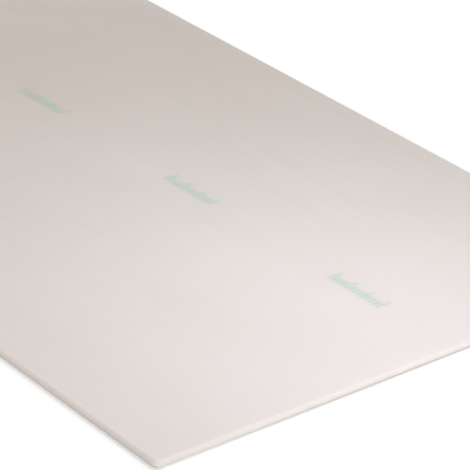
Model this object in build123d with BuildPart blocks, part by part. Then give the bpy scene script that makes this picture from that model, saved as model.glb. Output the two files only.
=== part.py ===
"""A thin insulation board of white extruded polystyrene foam, lying flat.

The board is one extruded sheet, trimmed to a stock size. Its arrises are rolled round on
both faces and its four plan corners are knocked round, so no sharp edge is left on the soft
foam. Millimetres: +X runs along the board, +Y across it and +Z up. The origin is the middle
of the face that it lies on.
"""

import os

from build123d import *

# Stock size, as the board is sold
board_length = 1250.0
board_width = 800.0
board_thickness = 6.0

# Radius of the four corners, seen from above
corner_radius = 6.0

# Radius rolled onto the long and short edges, on the upper and the lower face alike
arris_radius = 2.9

# Least upright band that stays between the two arrises when a board is thin
least_edge_band = 0.2

# The board never gets a rounder arris than half of its own edge can hold
arris_radius_fitted = min(arris_radius, (board_thickness - least_edge_band) / 2)


# The trimmed sheet
with BuildPart() as insulation_board:
    with BuildSketch(Plane.XY) as outline:
        Rectangle(board_length, board_width)
        fillet(outline.vertices(), radius=corner_radius)
    extrude(amount=board_thickness)

    # The two rims, at the lower and at the upper face, are rolled round in one pass each
    lower_face = insulation_board.faces().sort_by(Axis.Z)[0]
    upper_face = insulation_board.faces().sort_by(Axis.Z)[-1]
    fillet(lower_face.edges() + upper_face.edges(), radius=arris_radius_fitted)

insulation_board.part.label = "insulation_board"

os.makedirs("parts", exist_ok=True)
export_step(insulation_board.part, "parts/insulation_board.step")
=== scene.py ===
"""The looks of a thin foam insulation board that lies flat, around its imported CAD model.

All lengths are metres in the frame of the CAD model: +X runs along the board, +Y across it and
+Z up, and the board lies on z = 0.
"""

import math

import bpy
from mathutils import Euler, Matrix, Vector


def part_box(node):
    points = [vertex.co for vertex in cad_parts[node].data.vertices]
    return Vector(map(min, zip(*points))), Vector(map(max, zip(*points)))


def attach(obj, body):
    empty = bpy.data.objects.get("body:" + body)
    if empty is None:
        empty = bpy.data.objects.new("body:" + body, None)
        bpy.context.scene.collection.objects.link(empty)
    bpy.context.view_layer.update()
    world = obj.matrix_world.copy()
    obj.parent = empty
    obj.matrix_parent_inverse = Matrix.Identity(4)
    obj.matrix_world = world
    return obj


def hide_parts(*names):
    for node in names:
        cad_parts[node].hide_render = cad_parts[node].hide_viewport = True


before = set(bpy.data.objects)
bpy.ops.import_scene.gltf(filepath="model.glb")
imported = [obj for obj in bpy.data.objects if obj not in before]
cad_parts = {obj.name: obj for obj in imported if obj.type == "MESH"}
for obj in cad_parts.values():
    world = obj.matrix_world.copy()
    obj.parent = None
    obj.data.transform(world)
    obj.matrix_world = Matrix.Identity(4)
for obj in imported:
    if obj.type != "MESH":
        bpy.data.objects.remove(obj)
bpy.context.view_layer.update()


# The foam board
# One sheet of extruded polystyrene foam, as it leaves the die: a closed smooth skin on both faces,
# trimmed to size, with the arrises rolled round and the four corners knocked round. The die and
# the haul-off leave long shallow ripples in the faces, a few hundredths of a millimetre deep.

millimetre = 0.001
quarter_turn = math.radians(90)


def add_node(tree, kind, feeds=None, **settings):
    """Adds a node, sets its properties, and feeds its inputs: each takes a value, an output socket,
    or another node, which stands for its first output."""
    added = tree.nodes.new(kind)
    for name, value in settings.items():
        setattr(added, name, value)
    for key, source in (feeds or {}).items():
        if isinstance(source, bpy.types.Node):
            source = source.outputs[0]
        if isinstance(source, bpy.types.NodeSocket):
            tree.links.new(source, added.inputs[key])
        else:
            added.inputs[key].default_value = source
    return added


def new_geometry_tree(name, lengths, counts):
    """An empty Geometry Nodes tree with named inputs, and the node that gives them."""
    tree = bpy.data.node_groups.new(name, "GeometryNodeTree")
    for label in lengths:
        tree.interface.new_socket(label, in_out="INPUT", socket_type="NodeSocketFloat")
    for label in counts:
        tree.interface.new_socket(label, in_out="INPUT", socket_type="NodeSocketInt")
    tree.interface.new_socket("Finish", in_out="INPUT", socket_type="NodeSocketMaterial")
    tree.interface.new_socket("Geometry", in_out="OUTPUT", socket_type="NodeSocketGeometry")
    return tree, add_node(tree, "NodeGroupInput").outputs


def close_geometry_tree(tree, geometry, finish):
    """Ends a tree: its instances become real, and all faces get the finish."""
    real = add_node(tree, "GeometryNodeRealizeInstances", {"Geometry": geometry})
    dressed = add_node(tree, "GeometryNodeSetMaterial", {"Geometry": real, "Material": finish})
    add_node(tree, "NodeGroupOutput", {"Geometry": dressed})


def new_object(name, data):
    """Puts a mesh, a lamp or a camera into the scene."""
    added = bpy.data.objects.new(name, data)
    bpy.context.scene.collection.objects.link(added)
    return added


def mesh_piece(name, tree, values):
    """Runs a tree with these values for its inputs, and keeps the result as one plain mesh."""
    piece = new_object(name, bpy.data.meshes.new(name))
    maker = piece.modifiers.new(name, "NODES")
    maker.node_group = tree
    for item in tree.interface.items_tree:
        if item.in_out == "INPUT":
            maker[item.identifier] = values[item.name]
    made = piece.evaluated_get(bpy.context.evaluated_depsgraph_get())
    piece.data = bpy.data.meshes.new_from_object(made)
    piece.data.name = name
    piece.modifiers.remove(maker)
    return piece


def new_finish(name):
    """An empty material, and the tree that its nodes go into."""
    finish = bpy.data.materials.new(name)
    finish.use_nodes = True
    finish.node_tree.nodes.clear()
    return finish, finish.node_tree


def linear(hex_colour):
    """The linear colour of an sRGB hex value."""
    channels = [int(hex_colour[i : i + 2], 16) / 255 for i in (1, 3, 5)]
    return [c / 12.92 if c <= 0.04045 else ((c + 0.055) / 1.055) ** 2.4 for c in channels] + [1.0]


# The ripple that the haul-off leaves: how far the skin lies under the full thickness at a place.
# Both the board and the print on it use it, so that the print lies on the skin everywhere.
ripple_inputs = ("Least ripple", "Most ripple", "Ripple along", "Ripple across")
ripple_tree = bpy.data.node_groups.new("haul_off_ripple", "GeometryNodeTree")
for label in ripple_inputs:
    ripple_tree.interface.new_socket(label, in_out="INPUT", socket_type="NodeSocketFloat")
ripple_tree.interface.new_socket("Place", in_out="INPUT", socket_type="NodeSocketVector")
ripple_tree.interface.new_socket("Sink", in_out="OUTPUT", socket_type="NodeSocketFloat")
given = add_node(ripple_tree, "NodeGroupInput").outputs
ripple_size = add_node(ripple_tree, "ShaderNodeCombineXYZ",
                       {"X": given["Ripple along"], "Y": given["Ripple across"], "Z": 1.0})
in_ripples = add_node(ripple_tree, "ShaderNodeVectorMath",
                      {0: given["Place"], 1: ripple_size}, operation="DIVIDE")
swell = add_node(ripple_tree, "ShaderNodeTexNoise",
                 {"Vector": in_ripples, "Scale": 1.0, "Detail": 1.0}, noise_dimensions="2D")
# Nearly all of the noise lies between 0.25 and 0.75
sink = add_node(ripple_tree, "ShaderNodeMapRange", {
    "Value": swell, "From Min": 0.25, "From Max": 0.75,
    "To Min": given["Least ripple"], "To Max": given["Most ripple"],
}, interpolation_type="SMOOTHSTEP")
add_node(ripple_tree, "NodeGroupOutput", {"Sink": sink})


def add_ripple(tree, given, place):
    """How far the skin lies under the full thickness at a place, worked out inside a tree."""
    feeds = {"Place": place, **{name: given[name] for name in ripple_inputs}}
    return add_node(tree, "GeometryNodeGroup", feeds, node_tree=ripple_tree).outputs["Sink"]


# The board's mesh starts as a lattice box, one unit a step, that is closed all round and two steps
# thick, so that its sides have one ring of points half way up. Each point is then led to its place
# by how many steps it lies in from the short ends and the long sides.
lattice_layers = 2
board_tree, given = new_geometry_tree(
    "foam_board",
    ("Length", "Width", "Thickness", "Corner radius", "Arris radius", "Face step", *ripple_inputs),
    ("Arris steps", "Corner steps"),
)
half_size = add_node(board_tree, "ShaderNodeVectorMath", {
    0: add_node(board_tree, "ShaderNodeCombineXYZ",
                {"X": given["Length"], "Y": given["Width"], "Z": given["Thickness"]}),
    "Scale": 0.5,
}, operation="SCALE")

# Steps from the rounded corners' zone to the middle, along and across, and what one step is there
flat_reach = add_node(board_tree, "ShaderNodeVectorMath",
                      {0: half_size, 1: given["Corner radius"]}, operation="SUBTRACT")
flat_steps = add_node(board_tree, "ShaderNodeVectorMath", {
    0: add_node(board_tree, "ShaderNodeVectorMath",
                {0: flat_reach, 1: given["Face step"]}, operation="DIVIDE"),
}, operation="CEIL")
flat_step = add_node(board_tree, "ShaderNodeVectorMath",
                     {0: flat_reach, 1: flat_steps}, operation="DIVIDE")
half_steps = add_node(board_tree, "ShaderNodeVectorMath",
                      {0: flat_steps, 1: given["Corner steps"]}, operation="ADD")
half_steps_apart = add_node(board_tree, "ShaderNodeSeparateXYZ", {0: half_steps}).outputs
lattice_size, lattice_points = [], []
for axis in "XY":
    whole = add_node(board_tree, "ShaderNodeMath",
                     {0: half_steps_apart[axis], 1: 2.0}, operation="MULTIPLY")
    lattice_size.append(whole)
    lattice_points.append(add_node(board_tree, "ShaderNodeMath",
                                   {0: whole, 1: 1.0}, operation="ADD"))
lattice = add_node(board_tree, "GeometryNodeMeshCube", {
    "Size": add_node(board_tree, "ShaderNodeCombineXYZ",
                     {"X": lattice_size[0], "Y": lattice_size[1], "Z": lattice_layers}),
    "Vertices X": lattice_points[0], "Vertices Y": lattice_points[1],
    "Vertices Z": lattice_layers + 1,
})

# Which side of the board's middle a point is on, and how many steps it lies in from the rim
place = add_node(board_tree, "GeometryNodeInputPosition")
place_side = add_node(board_tree, "ShaderNodeVectorMath", {0: place}, operation="SIGN")
steps_in = add_node(board_tree, "ShaderNodeVectorMath", {
    0: half_steps,
    1: add_node(board_tree, "ShaderNodeVectorMath", {0: place}, operation="ABSOLUTE"),
}, operation="SUBTRACT")
steps_in_apart = add_node(board_tree, "ShaderNodeSeparateXYZ", {0: steps_in}).outputs
flat_step_apart = add_node(board_tree, "ShaderNodeSeparateXYZ", {0: flat_step}).outputs

# How far in that is, in metres: over the arris by its arc, then to the corner zone, then evenly
insets = []
for axis in "XY":
    turned = add_node(board_tree, "ShaderNodeMapRange", {
        "Value": steps_in_apart[axis], "From Max": given["Arris steps"], "To Max": quarter_turn,
    })
    over_arris = add_node(board_tree, "ShaderNodeMath", {
        0: add_node(board_tree, "ShaderNodeMath", {0: turned}, operation="COSINE"),
        1: add_node(board_tree, "ShaderNodeMath",
                    {0: given["Arris radius"], 1: -1.0}, operation="MULTIPLY"),
        2: given["Arris radius"],
    }, operation="MULTIPLY_ADD")
    past_arris = add_node(board_tree, "ShaderNodeMapRange", {
        "Value": steps_in_apart[axis],
        "From Min": given["Arris steps"], "From Max": given["Corner steps"],
        "To Max": add_node(board_tree, "ShaderNodeMath",
                           {0: given["Corner radius"], 1: given["Arris radius"]},
                           operation="SUBTRACT"),
    })
    past_corner = add_node(board_tree, "ShaderNodeMath", {
        0: add_node(board_tree, "ShaderNodeMath", {
            0: add_node(board_tree, "ShaderNodeMath",
                        {0: steps_in_apart[axis], 1: given["Corner steps"]},
                        operation="SUBTRACT"),
            1: 0.0,
        }, operation="MAXIMUM"),
        1: flat_step_apart[axis],
        2: past_arris,
    }, operation="MULTIPLY_ADD")
    insets.append(add_node(board_tree, "ShaderNodeMath",
                           {0: over_arris, 1: past_corner}, operation="ADD"))

# In the corner zone the square rings of the lattice are drawn in to quarter circles
from_corner_centre = add_node(board_tree, "ShaderNodeVectorMath", {
    0: given["Corner radius"],
    1: add_node(board_tree, "ShaderNodeCombineXYZ", {"X": insets[0], "Y": insets[1]}),
}, operation="SUBTRACT")
flat_only = add_node(board_tree, "ShaderNodeVectorMath",
                     {0: from_corner_centre, 1: (1.0, 1.0, 0.0)}, operation="MULTIPLY")
outward = add_node(board_tree, "ShaderNodeVectorMath",
                   {0: flat_only, 1: (0.0, 0.0, 0.0)}, operation="MAXIMUM")
inward = add_node(board_tree, "ShaderNodeVectorMath",
                  {0: flat_only, 1: (0.0, 0.0, 0.0)}, operation="MINIMUM")
outward_apart = add_node(board_tree, "ShaderNodeSeparateXYZ", {0: outward}).outputs
draw_in = add_node(board_tree, "ShaderNodeMath", {
    0: add_node(board_tree, "ShaderNodeMath",
                {0: outward_apart["X"], 1: outward_apart["Y"]}, operation="MAXIMUM"),
    1: add_node(board_tree, "ShaderNodeVectorMath", {0: outward}, operation="LENGTH").outputs["Value"],
}, operation="DIVIDE")
rounded = add_node(board_tree, "ShaderNodeVectorMath",
                   {0: outward, "Scale": draw_in}, operation="SCALE")
plan_from_corner = add_node(board_tree, "ShaderNodeVectorMath",
                            {0: rounded, 1: inward}, operation="ADD")
plan_half = add_node(board_tree, "ShaderNodeVectorMath",
                     {0: flat_reach, 1: plan_from_corner}, operation="ADD")
plan = add_node(board_tree, "ShaderNodeVectorMath",
                {0: plan_half, 1: place_side}, operation="MULTIPLY")
plan_apart = add_node(board_tree, "ShaderNodeSeparateXYZ", {0: plan}).outputs

# The height: up over the arris by the same arc, less the ripple, on both faces alike
ring = add_node(board_tree, "ShaderNodeMath",
                {0: steps_in_apart["X"], 1: steps_in_apart["Y"]}, operation="MINIMUM")
ring_turned = add_node(board_tree, "ShaderNodeMapRange", {
    "Value": ring, "From Max": given["Arris steps"], "To Max": quarter_turn,
})
half_thickness = add_node(board_tree, "ShaderNodeSeparateXYZ", {0: half_size}).outputs["Z"]
half_band = add_node(board_tree, "ShaderNodeMath",
                     {0: half_thickness, 1: given["Arris radius"]}, operation="SUBTRACT")
half_height = add_node(board_tree, "ShaderNodeMath", {
    0: add_node(board_tree, "ShaderNodeMath", {0: ring_turned}, operation="SINE"),
    1: given["Arris radius"],
    2: half_band,
}, operation="MULTIPLY_ADD")
ripple = add_ripple(board_tree, given, plan)
rippled = add_node(board_tree, "ShaderNodeMath",
                   {0: half_height, 1: ripple}, operation="SUBTRACT")
height = add_node(board_tree, "ShaderNodeMath", {
    0: rippled,
    1: add_node(board_tree, "ShaderNodeSeparateXYZ", {0: place}).outputs["Z"],
    2: half_thickness,
}, operation="MULTIPLY_ADD")
placed = add_node(board_tree, "GeometryNodeSetPosition", {
    "Geometry": lattice.outputs["Mesh"],
    "Position": add_node(board_tree, "ShaderNodeCombineXYZ",
                         {"X": plan_apart["X"], "Y": plan_apart["Y"], "Z": height}),
})
smooth = add_node(board_tree, "GeometryNodeSetShadeSmooth", {"Geometry": placed})
close_geometry_tree(board_tree, smooth, given["Finish"])


# Extruded polystyrene foam, with the closed skin that the die leaves: a dull satin, warm white face
# that shows faint flow lines along the board and, close up, the pebble of the cells beneath.
foam_skin, skin_tree = new_finish("extruded_polystyrene_skin")

# The flow lines of the die, some 5 mm across and half a metre long
flow_length = 500 * millimetre
flow_width = 5 * millimetre
skin_place = add_node(skin_tree, "ShaderNodeTexCoord").outputs["Object"]
flow_place = add_node(skin_tree, "ShaderNodeMapping", {
    "Vector": skin_place, "Scale": (1 / flow_length, 1 / flow_width, 1 / flow_width),
})
flow = add_node(skin_tree, "ShaderNodeTexNoise",
                {"Vector": flow_place, "Scale": 1.0, "Detail": 3.0})

# The broad clouds that uneven foaming leaves, about 150 mm across
clouds = add_node(skin_tree, "ShaderNodeTexNoise",
                  {"Vector": skin_place, "Scale": 1 / (150 * millimetre), "Detail": 2.0})

# The cells under the skin. They are 0.3 mm across, and drawn 1.6 mm across so that they show.
cells = add_node(skin_tree, "ShaderNodeTexVoronoi",
                 {"Vector": skin_place, "Scale": 1 / (1.6 * millimetre)},
                 feature="SMOOTH_F1").outputs["Distance"]

# The tone follows both noises, whose sum lies around 1. The cells are a third as deep as the flow.
flow_and_clouds = add_node(skin_tree, "ShaderNodeMath",
                           {0: flow, 1: clouds}, operation="ADD")
tone = add_node(skin_tree, "ShaderNodeMapRange",
                {"Value": flow_and_clouds, "From Min": 0.7, "From Max": 1.3})
skin_colour = add_node(skin_tree, "ShaderNodeMix", {
    "Factor": tone, "A": linear("#EEE6E2"), "B": linear("#F2EAE7"),
}, data_type="RGBA").outputs["Result"]
skin_roughness = add_node(skin_tree, "ShaderNodeMapRange", {
    "Value": flow, "From Min": 0.3, "From Max": 0.7, "To Min": 0.6, "To Max": 0.7,
})
relief = add_node(skin_tree, "ShaderNodeMath", {
    0: cells, 1: 0.3, 2: flow,
}, operation="MULTIPLY_ADD")
skin_bump = add_node(skin_tree, "ShaderNodeBump", {
    "Height": relief, "Strength": 0.5, "Distance": 0.03 * millimetre,
})

# Light goes a few millimetres deep into the foam, which keeps the rolled edges pale in the shade
skin_shader = add_node(skin_tree, "ShaderNodeBsdfPrincipled", {
    "Base Color": skin_colour, "Roughness": skin_roughness, "Normal": skin_bump, "IOR": 1.5,
    "Subsurface Weight": 1.0, "Subsurface Radius": (1.0, 0.95, 0.9), "Subsurface Scale": 5 * millimetre,
})
add_node(skin_tree, "ShaderNodeOutputMaterial", {"Surface": skin_shader})

board_low, board_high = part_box("insulation_board")
board_size = board_high - board_low
corner_radius = 6 * millimetre
arris_radius = 2.9 * millimetre
skin_ripple = {"Least ripple": 0.035 * millimetre, "Most ripple": 0.09 * millimetre,
               "Ripple along": 160 * millimetre, "Ripple across": 90 * millimetre}

foam_board = mesh_piece("foam_board", board_tree, {
    "Length": board_size.x, "Width": board_size.y, "Thickness": board_size.z,
    "Corner radius": corner_radius, "Arris radius": arris_radius,
    "Face step": 8 * millimetre, "Arris steps": 6, "Corner steps": 10,
    **skin_ripple, "Finish": foam_skin,
})
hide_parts("insulation_board")
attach(foam_board, "root")


# The printed scales
# A plain tick scale, 56 mm long, is rolled in pale green ink onto the middle line of the upper face,
# once for each sixth of the board. The ink is a film some hundredths of a millimetre thick, which
# lies in the ripple of the skin.
scale_tree, given = new_geometry_tree(
    "printed_scales",
    ("Thickness", "First scale", "Scale pitch", "Tick gap", "Tick width", "Long tick", "Short tick",
     "Film", *ripple_inputs),
    ("Scales", "Ticks", "Ticks to a long one", "Steps in a tick"),
)

# One tick is a plate with steps along it, so that it can follow the skin. Its foot is at the origin.
tick_plate = add_node(scale_tree, "GeometryNodeMeshCube", {
    "Size": (1, 1, 1),
    "Vertices X": 2, "Vertices Y": given["Steps in a tick"], "Vertices Z": 2,
})
tick = add_node(scale_tree, "GeometryNodeTransform",
                {"Geometry": tick_plate.outputs["Mesh"], "Translation": (0, 0.5, 0)})

# The ticks stand in a row, and every fourth one is long
half_long = add_node(scale_tree, "ShaderNodeMath",
                     {0: given["Long tick"], 1: -0.5}, operation="MULTIPLY")
gaps = add_node(scale_tree, "ShaderNodeMath",
                {0: given["Ticks"], 1: 1.0}, operation="SUBTRACT")
scale_length = add_node(scale_tree, "ShaderNodeMath",
                        {0: gaps, 1: given["Tick gap"]}, operation="MULTIPLY")
first_tick = add_node(scale_tree, "ShaderNodeMath",
                      {0: scale_length, 1: -0.5}, operation="MULTIPLY")
tick_row = add_node(scale_tree, "GeometryNodeMeshLine", {
    "Count": given["Ticks"],
    "Start Location": add_node(scale_tree, "ShaderNodeCombineXYZ",
                               {"X": first_tick, "Y": half_long}),
    "Offset": add_node(scale_tree, "ShaderNodeCombineXYZ", {"X": given["Tick gap"]}),
}, mode="OFFSET")
past_long_one = add_node(scale_tree, "ShaderNodeMath", {
    0: add_node(scale_tree, "GeometryNodeInputIndex"), 1: given["Ticks to a long one"],
}, operation="MODULO")
tick_length = add_node(scale_tree, "GeometryNodeSwitch", {
    "Switch": add_node(scale_tree, "ShaderNodeMath",
                       {0: past_long_one, 1: 0.5}, operation="LESS_THAN"),
    "False": given["Short tick"], "True": given["Long tick"],
}, input_type="FLOAT")
ticks = add_node(scale_tree, "GeometryNodeInstanceOnPoints", {
    "Points": tick_row, "Instance": tick,
    "Scale": add_node(scale_tree, "ShaderNodeCombineXYZ",
                      {"X": given["Tick width"], "Y": tick_length, "Z": given["Film"]}),
})

# The scales stand in a row along the board, and each point of them is laid onto the skin
scale_step = add_node(scale_tree, "ShaderNodeMath",
                      {0: given["Scale pitch"], 1: -1.0}, operation="MULTIPLY")
scale_row = add_node(scale_tree, "GeometryNodeMeshLine", {
    "Count": given["Scales"],
    "Start Location": add_node(scale_tree, "ShaderNodeCombineXYZ",
                               {"X": given["First scale"]}),
    "Offset": add_node(scale_tree, "ShaderNodeCombineXYZ", {"X": scale_step}),
}, mode="OFFSET")
scales = add_node(scale_tree, "GeometryNodeRealizeInstances", {
    "Geometry": add_node(scale_tree, "GeometryNodeInstanceOnPoints",
                         {"Points": scale_row, "Instance": ticks}),
})
ink_place = add_node(scale_tree, "GeometryNodeInputPosition")
skin_height = add_node(scale_tree, "ShaderNodeMath", {
    0: given["Thickness"], 1: add_ripple(scale_tree, given, ink_place),
}, operation="SUBTRACT")
laid_on = add_node(scale_tree, "GeometryNodeSetPosition", {
    "Geometry": scales,
    "Offset": add_node(scale_tree, "ShaderNodeCombineXYZ", {"Z": skin_height}),
})
close_geometry_tree(scale_tree, laid_on, given["Finish"])

# Flexographic ink on foam: a thin dull coat that breaks up over the cells, so that the skin shows
# through in specks about 1 mm across.
scale_ink, ink_tree = new_finish("flexographic_ink")
speckle = add_node(ink_tree, "ShaderNodeTexNoise", {
    "Vector": add_node(ink_tree, "ShaderNodeTexCoord").outputs["Object"],
    "Scale": 1 / (1.0 * millimetre), "Detail": 2.0,
})
coat = add_node(ink_tree, "ShaderNodeMapRange",
                {"Value": speckle, "From Min": 0.4, "From Max": 0.62})
ink_colour = add_node(ink_tree, "ShaderNodeMix", {
    "Factor": coat, "A": linear("#B4E6C4"), "B": linear("#D6F8E1"),
}, data_type="RGBA").outputs["Result"]
ink_shader = add_node(ink_tree, "ShaderNodeBsdfPrincipled",
                      {"Base Color": ink_colour, "Roughness": 0.6, "IOR": 1.5})
add_node(ink_tree, "ShaderNodeOutputMaterial", {"Surface": ink_shader})

scale_count = 6
first_from_end = 109.5 * millimetre
printed_scales = mesh_piece("printed_scales", scale_tree, {
    "Thickness": board_size.z,
    "First scale": board_high.x - first_from_end, "Scale pitch": board_size.x / scale_count,
    "Scales": scale_count, "Ticks": 13, "Ticks to a long one": 4, "Steps in a tick": 6,
    "Tick gap": 4.7 * millimetre, "Tick width": 1.5 * millimetre,
    "Long tick": 24 * millimetre, "Short tick": 14 * millimetre, "Film": 0.06 * millimetre,
    **skin_ripple, "Finish": scale_ink,
})
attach(printed_scales, "root")


# The light
# A cool soft box over the near half leans out past the near end, so that the face falls off towards
# the far end. A low light from the near end fills the two edges in view, and a weak one from behind
# lays the shade of the long edge on the floor. A slightly warm white room fills the rest.
soft_box_place = Vector((0.505, -0.036, 0.66))
soft_box_target = Vector((1.355, 0.006, 0.0))
soft_box_side = 0.2
soft_box_watts = 2.7
soft_box_colour = linear("#ECF0FF")
soft_box_light = bpy.data.lights.new("soft_box", "AREA")
soft_box_light.size = soft_box_side
soft_box_light.energy = soft_box_watts
soft_box_light.color = soft_box_colour[:3]
soft_box_aim = (soft_box_target - soft_box_place).normalized()
soft_box = new_object("soft_box", soft_box_light)
soft_box.location = soft_box_place
soft_box.rotation_euler = soft_box_aim.to_track_quat("-Z", "Y").to_euler()
soft_box.visible_camera = False

room_fill = 0.469
room_colour = linear("#FFFAF1")
white = linear("#FFFFFF")


def hang_low_light(name, azimuth, elevation, share, spread, colour):
    """A far soft light. A surface that faces it gets this share of the light that makes it white."""
    light = bpy.data.lights.new(name, "SUN")
    light.energy = share * math.pi
    light.angle = spread
    light.color = colour[:3]
    lamp = new_object(name, light)
    lamp.rotation_euler = (quarter_turn - elevation, 0, azimuth)


front_elevation = math.radians(14)
front_share = 0.28
hang_low_light("front_light", azimuth=math.radians(71), elevation=front_elevation,
               share=front_share, spread=math.radians(12), colour=white)

back_elevation = math.radians(38)
back_share = 0.108
hang_low_light("back_light", azimuth=math.radians(180), elevation=back_elevation,
               share=back_share, spread=math.radians(24), colour=room_colour)


def seen_ray(tree):
    """1 for a ray that the camera sees, straight, in a reflection or through glass, or else 0."""
    ray = add_node(tree, "ShaderNodeLightPath").outputs
    straight_or_mirrored = add_node(tree, "ShaderNodeMath", {
        0: ray["Is Camera Ray"], 1: ray["Is Glossy Ray"],
    }, operation="MAXIMUM")
    return add_node(tree, "ShaderNodeMath", {
        0: straight_or_mirrored, 1: ray["Is Transmission Ray"],
    }, operation="MAXIMUM")


room = bpy.data.worlds.new("white_room")
bpy.context.scene.world = room
room.use_nodes = True
room_tree = room.node_tree
room_tree.nodes.clear()
room_seen = seen_ray(room_tree)
room_shown = add_node(room_tree, "ShaderNodeMix", {
    "Factor": room_seen, "A": room_colour, "B": white,
}, data_type="RGBA").outputs["Result"]
room_strength = add_node(room_tree, "ShaderNodeMapRange",
                         {"Value": room_seen, "To Min": room_fill, "To Max": 1.0})
room_light = add_node(room_tree, "ShaderNodeBackground",
                      {"Color": room_shown, "Strength": room_strength})
add_node(room_tree, "ShaderNodeOutputWorld", {"Surface": room_light})


# The floor
# A plain white studio table. It gives a white of its own to the camera and to reflections, just
# as much as the light on it lacks, so that the ground reads as white paper all over and only the
# shade of the board is left on it.
floor_paper, floor_tree = new_finish("white_studio_table")
floor_colour = linear("#F5F5F5")
floor_returns = floor_colour[0]
paper_white = 1.002

# The light that falls on the open floor, in each colour: evenly, from the room and both low lights
even_light = (Vector(room_colour[:3]) * (room_fill + back_share * math.sin(back_elevation))
              + Vector(white[:3]) * front_share * math.sin(front_elevation))

# The soft box's light falls off by the square of the distance, and by the slant at its own face and
# at the floor, which are both a length over that distance. Together that is its fourth power.
from_soft_box = add_node(floor_tree, "ShaderNodeVectorMath", {
    0: add_node(floor_tree, "ShaderNodeTexCoord").outputs["Object"], 1: soft_box_place,
}, operation="SUBTRACT")
before_soft_box = add_node(floor_tree, "ShaderNodeMath", {
    0: add_node(floor_tree, "ShaderNodeVectorMath",
                {0: from_soft_box, 1: soft_box_aim}, operation="DOT_PRODUCT").outputs["Value"],
    1: 0.0,
}, operation="MAXIMUM")
distance_squared = add_node(floor_tree, "ShaderNodeVectorMath", {
    0: from_soft_box, 1: from_soft_box,
}, operation="DOT_PRODUCT").outputs["Value"]
fall_off = add_node(floor_tree, "ShaderNodeMath", {
    0: before_soft_box,
    1: add_node(floor_tree, "ShaderNodeMath",
                {0: distance_squared, 1: 2.0}, operation="POWER"),
}, operation="DIVIDE")
soft_box_pool = Vector(soft_box_colour[:3]) * soft_box_watts / math.pi**2 * soft_box_place.z
light_returned = add_node(floor_tree, "ShaderNodeVectorMath", {
    0: soft_box_pool * floor_returns, 1: fall_off, 2: even_light * floor_returns,
}, operation="MULTIPLY_ADD")

# What that lacks of white is given to the rays that the camera sees, and to no others
white_lacking = add_node(floor_tree, "ShaderNodeVectorMath", {
    0: add_node(floor_tree, "ShaderNodeVectorMath",
                {0: (paper_white, paper_white, paper_white), 1: light_returned},
                operation="SUBTRACT"),
    1: (0.0, 0.0, 0.0),
}, operation="MAXIMUM")
floor_shader = add_node(floor_tree, "ShaderNodeAddShader", {
    0: add_node(floor_tree, "ShaderNodeBsdfDiffuse", {"Color": floor_colour}),
    1: add_node(floor_tree, "ShaderNodeEmission",
                {"Color": white_lacking, "Strength": seen_ray(floor_tree)}),
})
add_node(floor_tree, "ShaderNodeOutputMaterial", {"Surface": floor_shader})

floor_reach = 30.0
floor_mesh = bpy.data.meshes.new("studio_floor")
floor_mesh.from_pydata(
    [(-floor_reach, -floor_reach, 0), (floor_reach, -floor_reach, 0),
     (floor_reach, floor_reach, 0), (-floor_reach, floor_reach, 0)], [], [(0, 1, 2, 3)])
floor_mesh.materials.append(floor_paper)
studio_floor = new_object("studio_floor", floor_mesh)


# The camera
# It looks down on the board from its near corner with a long lens, and is rolled as the
# photograph was. Its place is worked out from where the near lower corner lies in the picture.
picture_side = 470
near_corner_pixel = Vector((155.9, 471.1))
near_corner_depth = 1.227
lens_millimetres = 134.15
sensor_millimetres = 36.0
camera_azimuth = math.radians(33.1)
camera_elevation = math.radians(23.03)
camera_roll = math.radians(17.04)

view_camera = new_object("view_camera", bpy.data.cameras.new("view_camera"))
view_camera.data.lens = lens_millimetres
view_camera.data.sensor_width = sensor_millimetres
facing = Euler((quarter_turn - camera_elevation, 0, camera_azimuth)).to_matrix()
turned_camera = facing @ Euler((0, 0, camera_roll)).to_matrix()
pixel_at_depth_one = sensor_millimetres / lens_millimetres / picture_side
off_middle = (near_corner_pixel - Vector((picture_side / 2, picture_side / 2))) * pixel_at_depth_one
to_corner = turned_camera @ Vector((off_middle.x, -off_middle.y, -1)) * near_corner_depth
near_corner = Vector((board_high.x, board_low.y, board_low.z))
view_camera.matrix_world = turned_camera.to_4x4()
view_camera.location = near_corner - to_corner
bpy.context.scene.camera = view_camera
bpy.context.scene.view_settings.view_transform = "Standard"
